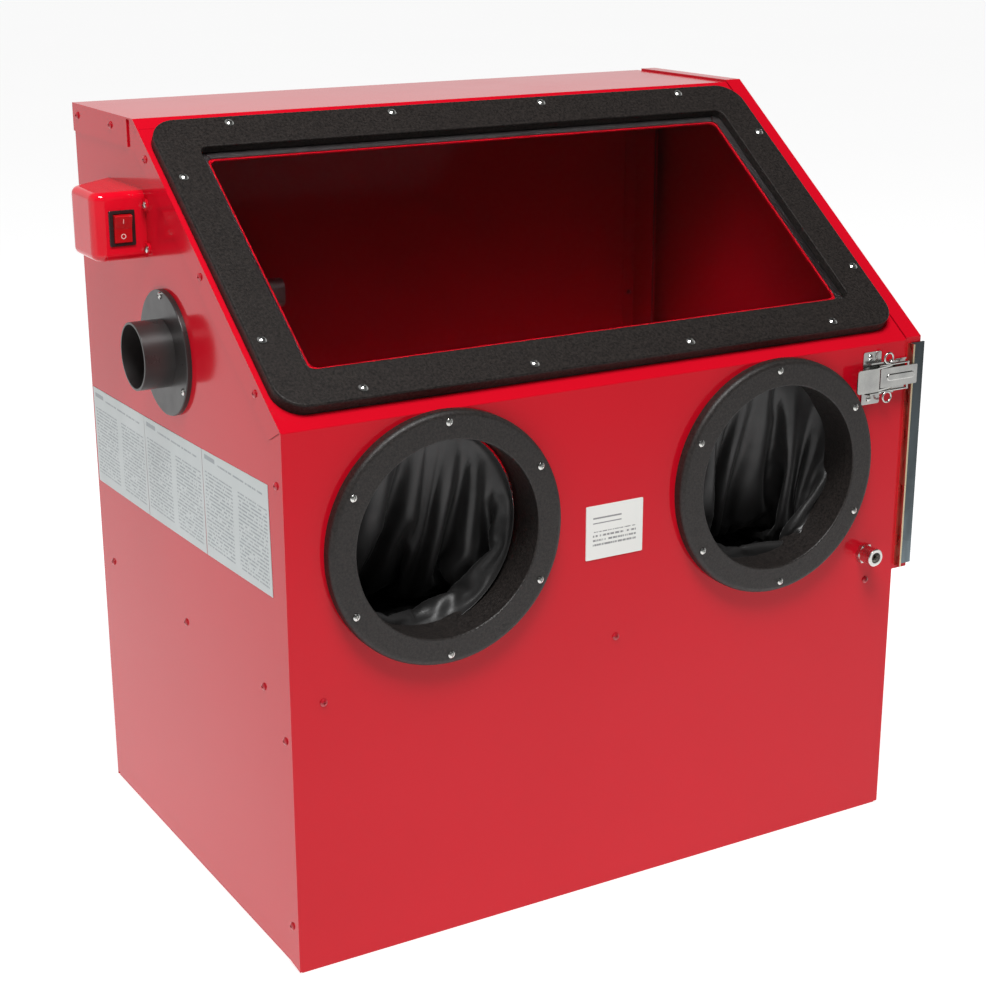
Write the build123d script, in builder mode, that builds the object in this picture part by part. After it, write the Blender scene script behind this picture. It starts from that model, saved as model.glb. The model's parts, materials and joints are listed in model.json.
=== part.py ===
from build123d import *
from math import atan2, cos, hypot, radians, sin, sqrt, tan
import os

# Bench-top sandblast cabinet. Row frame in millimetres: the origin is the centre of the underside,
# +X to the operator's right, +Y to the back, +Z up. The front faces -Y and the door is on the right.

# Body shell
body_width = 690.0
body_depth = 486.0
crease_height = 515.0
body_height = 745.0
slope_setback = 314.0
sheet = 1.5
fold_width = 24.0
fold_slit = 1.5
cover_lip = 14.5
cover_skirt = 28.0
cover_skirt_front = 88.0
back_skirt = 17.0
door_side_skirt = 20.0
pan_lip = 8.5
foot_gap = 1.8
side_step = 3.0

# Window
window_size = (679.0, 357.0)
window_centre_up = 194.5
window_opening = (601.0, 279.0)
window_opening_corner = 9.0
window_corner = 27.0
window_frame_thickness = 12.0
pane_size = (617.0, 295.0)
pane_corner = 12.0
pane_thickness = 3.0
gasket_thickness = 0.8
gasket_band = 15.0
sheet_window = (583.0, 261.0)
window_screw_pitch = 173.2
window_screw_inset = 10.5
window_side_screw_pitch = 202.0

# Glove ports
port_height = 397.5
port_left_x = -190.0
port_right_x = 181.0
port_turn_right = 3.0
ring_outer_radius = 118.5
ring_inner_radius = 92.5
ring_thickness = 12.0
ring_edge_radius = 5.0
collar_radius = 97.0
collar_wall = 3.0
collar_flange_radius = 115.0
collar_rear_y = -208.0
ring_screw_radius = 109.1
glove_wall = 2.5
glove_tip_y = 60.0

# Dust outlet
spigot_y = 14.0
spigot_z = 533.0
spigot_flange_radius = 60.0
spigot_flange_thickness = 5.0
spigot_tube_radius = 32.4
spigot_bore_radius = 30.2
spigot_length = 35.0
spigot_screw_radius = 55.0

# Switch housing on the left wall
housing_front_y = 53.5
housing_back_y = 160.0
housing_bottom = 616.0
housing_top = 680.5
housing_reach = 51.5
housing_wall = 2.5
housing_corner = 12.0
housing_edge = 7.0
housing_lug_y = 48.5
housing_lug_radius = 5.5
housing_lugs = (626.0, 667.7)
wire_hole = 8.0
wire_hole_y = 112.0
bezel_height = 1.5
bezel_x = -367.3
bezel_z = 647.0
bezel_size = (25.6, 33.6)
switch_well = (18.0, 27.4)
switch_depth = 18.0
rocker_size = (17.0, 26.0)
rocker_tilt = 8.0
rocker_rise = 4.7
rocker_dip = 3.3
rocker_axis_y = 53.5
rocker_pin_radius = 0.9
gland_bore = 3.5
gland_thread = 6.0
gland_nut = 5.0
gland_cap = 9.0
gland_tail = 9.0

# Air inlet
inlet_x = 304.5
inlet_z = 294.5
inlet_radius = 9.25
inlet_reach = 20.0
inlet_thread_radius = 5.72
inlet_thread_depth = 13.0
inlet_shank_radius = 6.5
inlet_shank = 20.0
inlet_nut_thickness = 4.5
inlet_nut_radius = 10.7

# Stickers: each label is (name, centre y, centre z, tilt in degrees)
label_size = (149.0, 102.5)
label_thickness = 0.4
side_labels = [("rear", 164.3, 400.9, 0.9), ("middle", 14.5, 403.7, 1.25), ("front", -135.75, 407.6, 1.7)]
badge_spot = (-6.5, 373.5)
badge_size = (64.0, 53.0)
badge_thickness = 0.8

# Door
door_gap = 2.0
door_depth = 20.0
door_bottom = 268.5
door_front_y = -241.0
door_rear_y = 238.0
door_top = 747.0
door_return = 34.0
door_seal_start = 24.0
door_seal_width = 9.0
door_opening_inset = 36.0
seal_gap = 0.2
hinge_x = 357.0
hinge_y = 247.5
hinge_knuckle_radius = 4.5
hinge_pin_radius = 2.5
hinge_clearance = 0.05
hinge_height = 60.0
hinge_bottoms = (330.0, 640.0)
knuckle_gap = 0.3
leaf_thickness = 2.0
body_leaf_left = 316.0
body_leaf_right = 351.0
body_leaf_rivet_x = 325.0
leaf_rivet_heights = (12.0, 48.0)
door_leaf_left = 348.0
door_leaf_right = 364.0
rivet_head = 3.2
rivet_rise = 1.8
rivet_shank = 2.2
strip_left = 349.5
strip_right = 370.0
strip_bottom = 273.0
strip_top = 510.5
strip_thickness = 2.0
strip_lip = 7.0

# Toggle latch on the front, lever pivot and claw pivot as (x, y)
latch_left = 289.0
latch_right = 344.0
latch_half_height = 16.5
latch_ear_right = 312.0
latch_ear_half_height = 27.0
latch_plate = 1.5
latch_cheek_y = -249.8
latch_middle = 481.0
lever_pivot = (321.5, -247.4)
claw_pivot = (309.0, -247.0)
latch_pin_radius = 1.2
lever_boss = 2.6
claw_boss = 2.2
lever_left = 274.0
lever_right = 302.0
lever_front_y = -255.0
claw_front_y = -252.0
lever_half_height = 12.0
claw_left = 306.0
claw_right = 354.0
claw_half_height = 10.0
claw_rib_length = 36.0
claw_rib_width = 7.0
claw_rib_rise = 1.2
spring_wire = 1.0
spring_loop_x = 316.0
spring_loop_radius = 5.3
spring_loop_offset = 20.0
spring_leg_offset = 13.4
spring_leg_left = 304.0
spring_leg_right = 343.0

# Inside
rail_bottom = 251.0
rail_height = 25.0
rail_leg = 22.0
rail_thickness = 2.0
hopper_top = 249.0
hopper_floor = 12.0
hopper_floor_size = (120.0, 90.0)
grate_thickness = 3.0
grate_size = (674.0, 472.0)
grate_pitch = 28.0
grate_hole = 22.0
grate_holes = (23, 16)
front_rail_length = 640.0
side_rail_length = 430.0
pickup_spot = (-40.0, -20.0)
pickup_radius = 9.5
pickup_height = 220.0

# Lamp under the lid
lamp_y = 165.0
lamp_length = 330.0
lamp_width = 40.0
lamp_depth = 18.0
lamp_drop = 26.0
lamp_socket_x = 148.0
lamp_tube_radius = 8.0
lamp_tube_half = 150.0

# Blast gun on the back wall
gun_x = -245.0
gun_y = 207.0
gun_bottom = 455.0
gun_height = 110.0
gun_radius = 15.0
gun_grip_z = 535.0
gun_grip_length = 105.0
nozzle_radius = 9.0
nozzle_length = 55.0
trigger_pivot = (-222.0, 517.0)
trigger_slot_half = 4.2
trigger_pin_radius = 1.0

# Screws
body_screw_head = 3.6
body_screw_shank = 2.0
body_screw_hole = 2.2
trim_screw_head = 3.4
rail_screw_z = 264.0

half_width = body_width / 2
front_y = -body_depth / 2
back_y = body_depth / 2
slope_top_y = front_y + slope_setback
slope_angle = atan2(body_height - crease_height, slope_setback)
slope_length = hypot(slope_setback, body_height - crease_height)
side_x = half_width - sheet

front_plane = Plane.XZ.offset(-front_y)
pi_half = radians(90)
slope_plane = Plane((0, front_y, crease_height), x_dir=(1, 0, 0),
                    z_dir=(0, -sin(slope_angle), cos(slope_angle)))
left_plane = Plane((-side_x, 0, 0), x_dir=(0, 1, 0), z_dir=(1, 0, 0))
left_outward = Plane((-side_x, 0, 0), x_dir=(0, -1, 0), z_dir=(-1, 0, 0))


def save(piece, name):
    piece.label = name
    export_step(piece, f"parts/{name}.step")


def slope_height(y, inset=0.0):
    """Height of the slope at a depth y, taken in from its outer face by inset."""
    return crease_height + (y - front_y) * tan(slope_angle) - inset / cos(slope_angle)


def slope_depth(z, inset=0.0):
    """Depth at which the slope, taken in by inset, reaches the height z."""
    return front_y + (z - crease_height + inset / cos(slope_angle)) / tan(slope_angle)


def side_outline(inset, bottom, front=None, rear=None, top=None):
    """Corners of the five-sided side view, in (y, z), taken in by inset all round but the bottom."""
    front = front_y + inset if front is None else front
    rear = back_y - inset if rear is None else rear
    top = body_height - inset if top is None else top
    return [(front, bottom), (front, slope_height(front, inset)), (slope_depth(top, inset), top),
            (rear, top), (rear, bottom)]


def port_centres():
    return [(port_left_x, 0.0), (port_right_x, port_turn_right)]


def ring_screw_points(x, turn):
    angles = [radians(90 + turn + 60 * step) for step in range(6)]
    return [(x + ring_screw_radius * cos(a), port_height + ring_screw_radius * sin(a)) for a in angles]


def window_screw_points():
    across = [window_screw_pitch * step for step in (-1.5, -0.5, 0.5, 1.5)]
    rise = window_size[1] / 2 - window_screw_inset
    reach = window_size[0] / 2 - window_screw_inset
    half_pitch = window_side_screw_pitch / 2
    rows = [(u, window_centre_up + side * rise) for side in (-1, 1) for u in across]
    sides = [(side * reach, window_centre_up + v) for side in (-1, 1) for v in (-half_pitch, half_pitch)]
    return rows + sides


def front_rail_screws():
    return [(-313.0, rail_screw_z), (-2.5, rail_screw_z), (309.0, rail_screw_z)]


def side_rail_screws():
    return [(-183.0, rail_screw_z), (3.0, rail_screw_z), (210.0, rail_screw_z)]


def fold_screws():
    """Screws through the front panel's side folds, in (y, z)."""
    upright = [(front_y + 13.0, z) for z in (44.0, 229.0, 466.0)]
    along = (55.0, 194.0, 346.0)
    down = 11.0
    sloped = [(front_y + v * cos(slope_angle) + down * sin(slope_angle),
               crease_height + v * sin(slope_angle) - down * cos(slope_angle)) for v in along]
    return upright + sloped


def cover_screws():
    return [(132.0, body_height - 11.5), (228.0, body_height - 11.5)]


def fold_profiles():
    """The front panel's side folds in (y, z): an upright one and a sloped one, mitred at the crease."""
    half_angle = (pi_half + slope_angle) / 2
    reach = fold_width / tan(half_angle)
    corner = (front_y, crease_height)
    inner = (front_y + fold_width, crease_height - reach)
    upright = [(front_y, foot_gap), (front_y + fold_width, foot_gap + 3.0), inner, corner]
    along = (cos(slope_angle), sin(slope_angle))
    length = slope_length - cover_lip
    far = (front_y + along[0] * length, crease_height + along[1] * length)
    inner_far = (far[0] + fold_width * along[1], far[1] - fold_width * along[0])
    start = (corner[0] + along[0] * fold_slit, corner[1] + along[1] * fold_slit)
    inner_start = (inner[0] + along[0] * fold_slit, inner[1] + along[1] * fold_slit)
    return [upright, [start, far, inner_far, inner_start]]


def make_front_panel():
    """One folded sheet: the upright front, the slope that carries the window, and folds down both sides."""
    end = slope_length - cover_lip - 0.3
    far = (front_y + end * cos(slope_angle), crease_height + end * sin(slope_angle))
    inner_far = (far[0] + sheet * sin(slope_angle), far[1] - sheet * cos(slope_angle))
    inner_crease = (front_y + sheet, slope_height(front_y + sheet, sheet))
    section = [(front_y, foot_gap), (front_y, crease_height), far, inner_far, inner_crease,
               (front_y + sheet, foot_gap)]
    with BuildPart() as panel:
        with BuildSketch(Plane.YZ.offset(-half_width)):
            with BuildLine():
                Polyline(*section, close=True)
            make_face()
        extrude(amount=body_width)
        crease = panel.edges().filter_by(Axis.X).filter_by_position(Axis.Z, crease_height - 0.1,
                                                                    crease_height + 0.1)
        fillet(crease, 1.4)
        for side in (-half_width, side_x):
            for outline in fold_profiles():
                with BuildSketch(Plane.YZ.offset(side)):
                    with BuildLine():
                        Polyline(*outline, close=True)
                    make_face()
                extrude(amount=sheet)
        with BuildSketch(front_plane):
            with Locations(*[(x, port_height) for x, turn in port_centres()]):
                Circle(collar_radius + 1.0)
            with Locations((inlet_x, inlet_z)):
                Circle(inlet_shank_radius + 0.3)
            with Locations(*front_rail_screws()):
                Circle(body_screw_hole)
            for x, turn in port_centres():
                with Locations(*ring_screw_points(x, turn)):
                    Circle(body_screw_hole)
        extrude(amount=-sheet, mode=Mode.SUBTRACT)
        with BuildSketch(slope_plane):
            with Locations((0, window_centre_up)):
                RectangleRounded(*sheet_window, 8.0)
            with Locations(*window_screw_points()):
                Circle(body_screw_hole)
        extrude(amount=-sheet, mode=Mode.SUBTRACT)
        for side in (-half_width, side_x):
            with BuildSketch(Plane.YZ.offset(side)):
                with Locations(*fold_screws()):
                    Circle(body_screw_hole)
            extrude(amount=sheet, mode=Mode.SUBTRACT)
    save(panel.part, "front_panel")


def side_holes():
    return fold_screws() + side_rail_screws() + cover_screws()


def make_left_side_panel():
    with BuildPart() as panel:
        with BuildSketch(left_plane):
            with BuildLine():
                Polyline(*side_outline(sheet, foot_gap + side_step), close=True)
            make_face()
            with Locations(*side_holes()):
                Circle(body_screw_hole, mode=Mode.SUBTRACT)
            with Locations((spigot_y, spigot_z)):
                Circle(spigot_tube_radius + 0.6, mode=Mode.SUBTRACT)
            with Locations((wire_hole_y, bezel_z)):
                Circle(wire_hole, mode=Mode.SUBTRACT)
            with Locations(*[(housing_lug_y, z) for z in housing_lugs]):
                Circle(body_screw_hole, mode=Mode.SUBTRACT)
            with Locations(*spigot_screw_points()):
                Circle(body_screw_hole, mode=Mode.SUBTRACT)
        extrude(amount=sheet)
        with Locations((-side_x + 8.5, back_y - sheet * 1.5, body_height / 2)):
            Box(14.0, sheet, body_height - 40.0)
        with BuildSketch(Plane.XZ.offset(-back_y)):
            with Locations(*back_screw_points()):
                Circle(body_screw_hole)
        extrude(amount=3 * sheet, mode=Mode.SUBTRACT)
    save(panel.part, "left_side_panel")


def spigot_screw_points():
    angles = [radians(90 + 120 * step) for step in range(3)]
    return [(spigot_y + spigot_screw_radius * cos(a), spigot_z + spigot_screw_radius * sin(a)) for a in angles]


def door_outline():
    """Corners of the door in (y, z): its sloped edge lies in the plane of the cabinet's slope."""
    return side_outline(0.0, door_bottom, door_front_y, door_rear_y, door_top)


def make_right_side_panel():
    with BuildPart() as panel:
        with BuildSketch(Plane.YZ.offset(side_x)):
            with BuildLine():
                Polyline(*side_outline(sheet, foot_gap + side_step), close=True)
            make_face()
            with Locations(*side_holes()):
                Circle(body_screw_hole, mode=Mode.SUBTRACT)
            with BuildLine():
                Polyline(*door_outline(), close=True)
            door = make_face(mode=Mode.PRIVATE)
            offset(door, amount=-door_opening_inset, kind=Kind.INTERSECTION, mode=Mode.SUBTRACT)
        extrude(amount=-sheet)
        with Locations((side_x - 8.5, back_y - sheet * 1.5, body_height / 2)):
            Box(14.0, sheet, body_height - 40.0)
        with BuildSketch(Plane.XZ.offset(-back_y)):
            with Locations(*back_screw_points()):
                Circle(body_screw_hole)
        extrude(amount=3 * sheet, mode=Mode.SUBTRACT)
    save(panel.part, "right_side_panel")


def make_back_panel():
    with BuildPart() as panel:
        with BuildSketch(Plane.XZ.offset(-back_y)):
            with Locations((0, (foot_gap + body_height - sheet) / 2)):
                Rectangle(2 * side_x, body_height - sheet - foot_gap)
            with Locations(*back_screw_points()):
                Circle(body_screw_hole, mode=Mode.SUBTRACT)
        extrude(amount=sheet)
    save(panel.part, "back_panel")


def back_screw_points():
    return [(side * 335.0, z) for side in (-1, 1) for z in (60.0, 270.0, 480.0, 716.0)]


def make_top_cover():
    """The lid sheet: flat top, a short lip down the slope, skirts down both sides and one inside the back."""
    start = slope_length - cover_lip
    lip = (front_y + start * cos(slope_angle), crease_height + start * sin(slope_angle))
    lip_inner = (lip[0] + sheet * sin(slope_angle), lip[1] - sheet * cos(slope_angle))
    section = [lip, (slope_top_y, body_height), (back_y, body_height), (back_y, body_height - sheet),
               (slope_depth(body_height - sheet, sheet), body_height - sheet), lip_inner]
    with BuildPart() as cover:
        with BuildSketch(Plane.YZ.offset(-half_width)):
            with BuildLine():
                Polyline(*section, close=True)
            make_face()
        extrude(amount=body_width)
        for side, depth in ((-half_width, cover_skirt), (side_x, door_side_skirt)):
            with BuildSketch(Plane.YZ.offset(side)):
                with Locations((cover_skirt_front, body_height)):
                    Rectangle(back_y - cover_skirt_front, depth, align=(Align.MIN, Align.MAX))
                with Locations(*cover_screws()):
                    Circle(body_screw_hole, mode=Mode.SUBTRACT)
            extrude(amount=sheet)
        with BuildSketch(Plane.XY.offset(body_height - sheet)):
            with Locations((0, back_y - sheet)):
                Rectangle(2 * (side_x - 2 * sheet), sheet, align=(Align.CENTER, Align.MAX))
        extrude(amount=-back_skirt)
    save(cover.part, "top_cover")


def make_bottom_pan():
    with BuildPart() as pan:
        with BuildSketch():
            Rectangle(2 * (side_x - sheet), body_depth - 2 * sheet)
        extrude(amount=sheet + pan_lip)
        with BuildSketch(Plane.XY.offset(sheet)):
            Rectangle(2 * (side_x - 2 * sheet), body_depth - 4 * sheet)
        extrude(amount=pan_lip, mode=Mode.SUBTRACT)
    save(pan.part, "bottom_pan")


def hopper_cone(inset):
    """A four-sided funnel taken in by inset; it fills the chamber's plan in front of the rear flanges."""
    width = 2 * (side_x - sheet)
    depth = body_depth - 3 * sheet
    with BuildPart() as cone:
        with BuildSketch(Plane.XY.offset(hopper_floor + inset)):
            Rectangle(hopper_floor_size[0] - 2 * inset, hopper_floor_size[1] - 2 * inset)
        with BuildSketch(Plane.XY.offset(hopper_top)):
            with Locations((0, -sheet / 2)):
                Rectangle(width - 2 * inset, depth - 2 * inset)
        loft()
    return cone.part


def make_hopper():
    outer = hopper_cone(0.0)
    inner = hopper_cone(sheet)
    with BuildPart() as hopper:
        add(outer)
        add(inner, mode=Mode.SUBTRACT)
    save(hopper.part, "hopper")


def make_pickup_tube():
    """The steel tube that the abrasive is drawn up through, standing on the hopper's floor."""
    with BuildPart() as tube:
        with BuildSketch(Plane.XY.offset(hopper_floor + sheet)):
            with Locations(pickup_spot):
                Circle(pickup_radius)
                Circle(pickup_radius - sheet, mode=Mode.SUBTRACT)
        extrude(amount=pickup_height)
        with BuildSketch(Plane.XZ.offset(-pickup_spot[1])):
            with Locations((pickup_spot[0], hopper_floor + 12.0), (pickup_spot[0], hopper_floor + 28.0)):
                Circle(3.5)
        extrude(amount=2 * pickup_radius, both=True, mode=Mode.SUBTRACT)
    save(tube.part, "pickup_tube")


def make_grate_rails():
    """Four angle rails that carry the grate, upright leg on the wall and flat leg on top."""
    top = rail_bottom + rail_height
    reach_y = body_depth / 2 - sheet
    reach_x = side_x - sheet
    with BuildPart() as rails:
        for side in (-1, 1):
            inward = Align.MIN if side < 0 else Align.MAX
            with Locations((0, side * reach_y, top)):
                Box(front_rail_length, rail_thickness, rail_height, align=(Align.CENTER, inward, Align.MAX))
                Box(front_rail_length, rail_leg, rail_thickness, align=(Align.CENTER, inward, Align.MAX))
            with Locations((side * reach_x, 0, top)):
                Box(rail_thickness, side_rail_length, rail_height, align=(inward, Align.CENTER, Align.MAX))
                Box(rail_leg, side_rail_length, rail_thickness, align=(inward, Align.CENTER, Align.MAX))
        with BuildSketch(front_plane):
            with Locations(*front_rail_screws()):
                Circle(body_screw_hole)
        extrude(amount=-2 * sheet - rail_thickness, mode=Mode.SUBTRACT)
        with BuildSketch(Plane.YZ):
            with Locations(*side_rail_screws()):
                Circle(body_screw_hole)
        extrude(amount=half_width, both=True, mode=Mode.SUBTRACT)
    save(rails.part, "grate_rails")


def make_work_grate():
    with BuildPart() as grate:
        with BuildSketch(Plane.XY.offset(rail_bottom + rail_height)):
            Rectangle(*grate_size)
            with GridLocations(grate_pitch, grate_pitch, *grate_holes):
                Rectangle(grate_hole, grate_hole, mode=Mode.SUBTRACT)
        extrude(amount=grate_thickness)
    save(grate.part, "work_grate")


def window_sheet(name, size, corner, hole, hole_corner, start, thickness):
    """A rounded ring or sheet laid parallel to the slope, start above the panel's face."""
    with BuildPart() as piece:
        with BuildSketch(slope_plane.offset(start)):
            with Locations((0, window_centre_up)):
                RectangleRounded(*size, corner)
                if hole:
                    RectangleRounded(*hole, hole_corner, mode=Mode.SUBTRACT)
        extrude(amount=thickness)
    save(piece.part, name)


def make_window_frame():
    seat = gasket_thickness + pane_thickness
    with BuildPart() as frame:
        with BuildSketch(slope_plane):
            with Locations((0, window_centre_up)):
                RectangleRounded(*window_size, window_corner)
                RectangleRounded(*window_opening, window_opening_corner, mode=Mode.SUBTRACT)
            with Locations(*window_screw_points()):
                Circle(body_screw_hole, mode=Mode.SUBTRACT)
        extrude(amount=window_frame_thickness)
        front = frame.faces().filter_by(slope_plane).sort_by(SortBy.AREA)[-2:]
        crown = front.sort_by(Axis.Z)[-1]
        fillet(crown.outer_wire().edges(), 2.0)
        crown = frame.faces().filter_by(slope_plane).sort_by(Axis.Z)[-1]
        opening = crown.inner_wires().sort_by(SortBy.LENGTH)[-1]
        fillet(opening.edges(), 1.2)
        with BuildSketch(slope_plane):
            with Locations((0, window_centre_up)):
                RectangleRounded(pane_size[0] + 1, pane_size[1] + 1, pane_corner)
        extrude(amount=seat, mode=Mode.SUBTRACT)
    save(frame.part, "window_frame")


def make_window():
    hole = (pane_size[0] - 2 * gasket_band, pane_size[1] - 2 * gasket_band)
    window_sheet("window_gasket", pane_size, pane_corner, hole, pane_corner / 2, 0.0, gasket_thickness)
    window_sheet("window_pane", pane_size, pane_corner, None, 0.0, gasket_thickness, pane_thickness)
    make_window_frame()


def make_glove_port(name, x, turn):
    """The trim ring outside the panel and the flanged collar inside it, on one glove hole."""
    with BuildPart() as ring:
        with BuildSketch(front_plane):
            with Locations((x, port_height)):
                Circle(ring_outer_radius)
                Circle(ring_inner_radius, mode=Mode.SUBTRACT)
            with Locations(*ring_screw_points(x, turn)):
                Circle(body_screw_hole, mode=Mode.SUBTRACT)
        extrude(amount=ring_thickness)
        front = ring.faces().filter_by(Axis.Y).sort_by(Axis.Y)[0]
        fillet(front.outer_wire().edges(), ring_edge_radius)
        front = ring.faces().filter_by(Axis.Y).sort_by(Axis.Y)[0]
        fillet(front.inner_wires().sort_by(SortBy.LENGTH)[-1].edges(), 1.5)
    save(ring.part, f"glove_ring_{name}")
    with BuildPart() as collar:
        with BuildSketch(Plane.XZ.offset(-front_y - sheet)):
            with Locations((x, port_height)):
                Circle(collar_flange_radius)
                Circle(collar_radius - collar_wall, mode=Mode.SUBTRACT)
            with Locations(*ring_screw_points(x, turn)):
                Circle(body_screw_hole, mode=Mode.SUBTRACT)
        extrude(amount=-collar_wall)
        with BuildSketch(front_plane):
            with Locations((x, port_height)):
                Circle(collar_radius)
                Circle(collar_radius - collar_wall, mode=Mode.SUBTRACT)
        extrude(amount=front_y - collar_rear_y)
    save(collar.part, f"glove_collar_{name}")
    outer = glove_sleeve(x, 0.0)
    inner = glove_sleeve(x, glove_wall)
    with BuildPart() as glove:
        add(outer)
        add(inner, mode=Mode.SUBTRACT)
    save(glove.part, f"glove_{name}")
    add_screws(f"glove_ring_screws_{name}", trim_screw, front_plane.offset(ring_thickness),
               ring_screw_points(x, turn))


def glove_sleeve(x, inset):
    """The gauntlet as one limp sleeve: round on the collar, narrowing and drooping towards the hand."""
    cuff = collar_radius + 0.2 + glove_wall
    sections = [(-236.0, port_height, cuff), (collar_rear_y + 2, port_height, cuff), (-160.0, 390.0, 91.0),
                (-110.0, 372.0, 74.0), (-50.0, 347.0, 56.0), (0.0, 330.0, 43.0), (glove_tip_y, 320.0, 34.0)]
    with BuildPart() as sleeve:
        for index, (y, z, radius) in enumerate(sections):
            end = inset if index == len(sections) - 1 else 0.0
            with BuildSketch(Plane.XZ.offset(end - y)):
                with Locations((x, z)):
                    Circle(radius - inset)
        loft(ruled=True)
    return sleeve.part


def dome_point(radius, base, top):
    """A point halfway along the arc that domes from (radius, base) up to (0, top) on the axis."""
    rise = top - base
    sphere = (radius ** 2 + rise ** 2) / (2 * rise)
    x = radius * 0.7
    return (x, top - sphere + sqrt(sphere ** 2 - x ** 2))


def make_screw(head_radius, head_height, shank_radius, shank_length):
    """A pan-head screw along Z with its seat at the origin and a cross recess in the head."""
    side = head_height * 0.35
    with BuildPart() as screw:
        with BuildSketch(Plane.XZ):
            with BuildLine():
                Polyline((0, head_height), (0, -shank_length), (shank_radius, -shank_length),
                         (shank_radius, 0), (head_radius, 0), (head_radius, side))
                ThreePointArc((head_radius, side), dome_point(head_radius, side, head_height),
                              (0, head_height))
            make_face()
        revolve(axis=Axis.Z)
        with BuildSketch(Plane.XY.offset(head_height)):
            Rectangle(head_radius * 1.1, head_radius * 0.26)
            Rectangle(head_radius * 0.26, head_radius * 1.1)
        extrude(amount=-head_height * 0.55, mode=Mode.SUBTRACT)
    return screw.part


def add_screws(name, screw, plane, points):
    spots = [plane.location * Location((u, v, 0)) for u, v in points]
    with BuildPart() as group:
        with Locations(*spots):
            add(screw)
    save(group.part, name)


def add_wall_screws():
    """The painted screws of the body's folds, rails and cover, one node for each group."""
    right_outward = Plane((half_width, 0, 0), x_dir=(0, 1, 0), z_dir=(1, 0, 0))
    left_skin = Plane((-half_width, 0, 0), x_dir=(0, -1, 0), z_dir=(-1, 0, 0))
    with BuildPart() as fold:
        with Locations(*[left_skin.location * Location((-y, z, 0)) for y, z in fold_screws()]):
            add(body_screw)
        with Locations(*[right_outward.location * Location((y, z, 0)) for y, z in fold_screws()
                         if z < door_bottom - 10]):
            add(body_screw)
    save(fold.part, "fold_screws")
    with BuildPart() as rail:
        with Locations(*[left_outward.location * Location((-y, z, 0)) for y, z in side_rail_screws()]):
            add(body_screw)
        with Locations(*[front_plane.location * Location((x, z, 0)) for x, z in front_rail_screws()]):
            add(body_screw)
    save(rail.part, "rail_screws")
    with BuildPart() as cover:
        with Locations(*[left_skin.location * Location((-y, z, 0)) for y, z in cover_screws()]):
            add(body_screw)
    save(cover.part, "cover_screws")
    back_plane = Plane((0, back_y, 0), x_dir=(-1, 0, 0), z_dir=(0, 1, 0))
    add_screws("back_screws", body_screw, back_plane, [(-x, z) for x, z in back_screw_points()])


def housing_solid(inset):
    """The switch housing's outer form taken in by inset: square at the front, tapered to the wall behind."""
    outer_x = -side_x - housing_reach + inset
    shoulder_y = 119.0 - inset
    with BuildPart() as form:
        with BuildSketch(Plane.XY.offset(housing_bottom + inset)):
            with BuildLine():
                Polyline((-side_x, housing_front_y + inset), (outer_x, housing_front_y + inset),
                         (outer_x, shoulder_y), (-side_x, housing_back_y - inset), close=True)
            make_face()
        extrude(amount=housing_top - housing_bottom - 2 * inset)
        front_corner = form.edges().filter_by(Axis.Z).sort_by(Axis.Y)[:2].sort_by(Axis.X)[0]
        fillet(front_corner, housing_corner - inset)
        shoulder = form.edges().filter_by(Axis.Z).filter_by_position(Axis.Y, shoulder_y - 0.1, shoulder_y + 0.1)
        fillet(shoulder, 2 * housing_corner - inset)
        rims = [e for e in form.faces().filter_by(Axis.Z).edges() if e.center().X < -side_x - 0.1]
        fillet(rims, housing_edge - inset)
    return form.part


def make_switch_housing():
    shell = housing_solid(0.0)
    hollow = housing_solid(housing_wall)
    with BuildPart() as housing:
        add(shell)
        add(hollow, mode=Mode.SUBTRACT)
        for z in housing_lugs:
            with BuildSketch(left_outward):
                with Locations((-housing_lug_y, z)):
                    Circle(housing_lug_radius)
                with Locations((-housing_lug_y - housing_lug_radius / 2, z)):
                    Rectangle(housing_lug_radius, 2 * housing_lug_radius)
            extrude(amount=housing_wall)
        with BuildSketch(left_outward):
            with Locations(*[(-housing_lug_y, z) for z in housing_lugs]):
                Circle(body_screw_hole)
        extrude(amount=housing_reach, mode=Mode.SUBTRACT)
        with BuildSketch(Plane.XZ.offset(-housing_front_y)):
            with Locations((bezel_x, bezel_z)):
                Rectangle(bezel_size[0] - 3.6, bezel_size[1] - 3.6)
        extrude(amount=-housing_wall, mode=Mode.SUBTRACT)
        with BuildSketch(Plane.XZ.offset(-housing_back_y)):
            with Locations((bezel_x, bezel_z)):
                Circle(gland_thread + 0.2)
        extrude(amount=housing_wall, mode=Mode.SUBTRACT)
    save(housing.part, "switch_housing")
    add_screws("housing_screws", trim_screw_short, left_outward.offset(housing_wall),
               [(-housing_lug_y, z) for z in housing_lugs])


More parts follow.
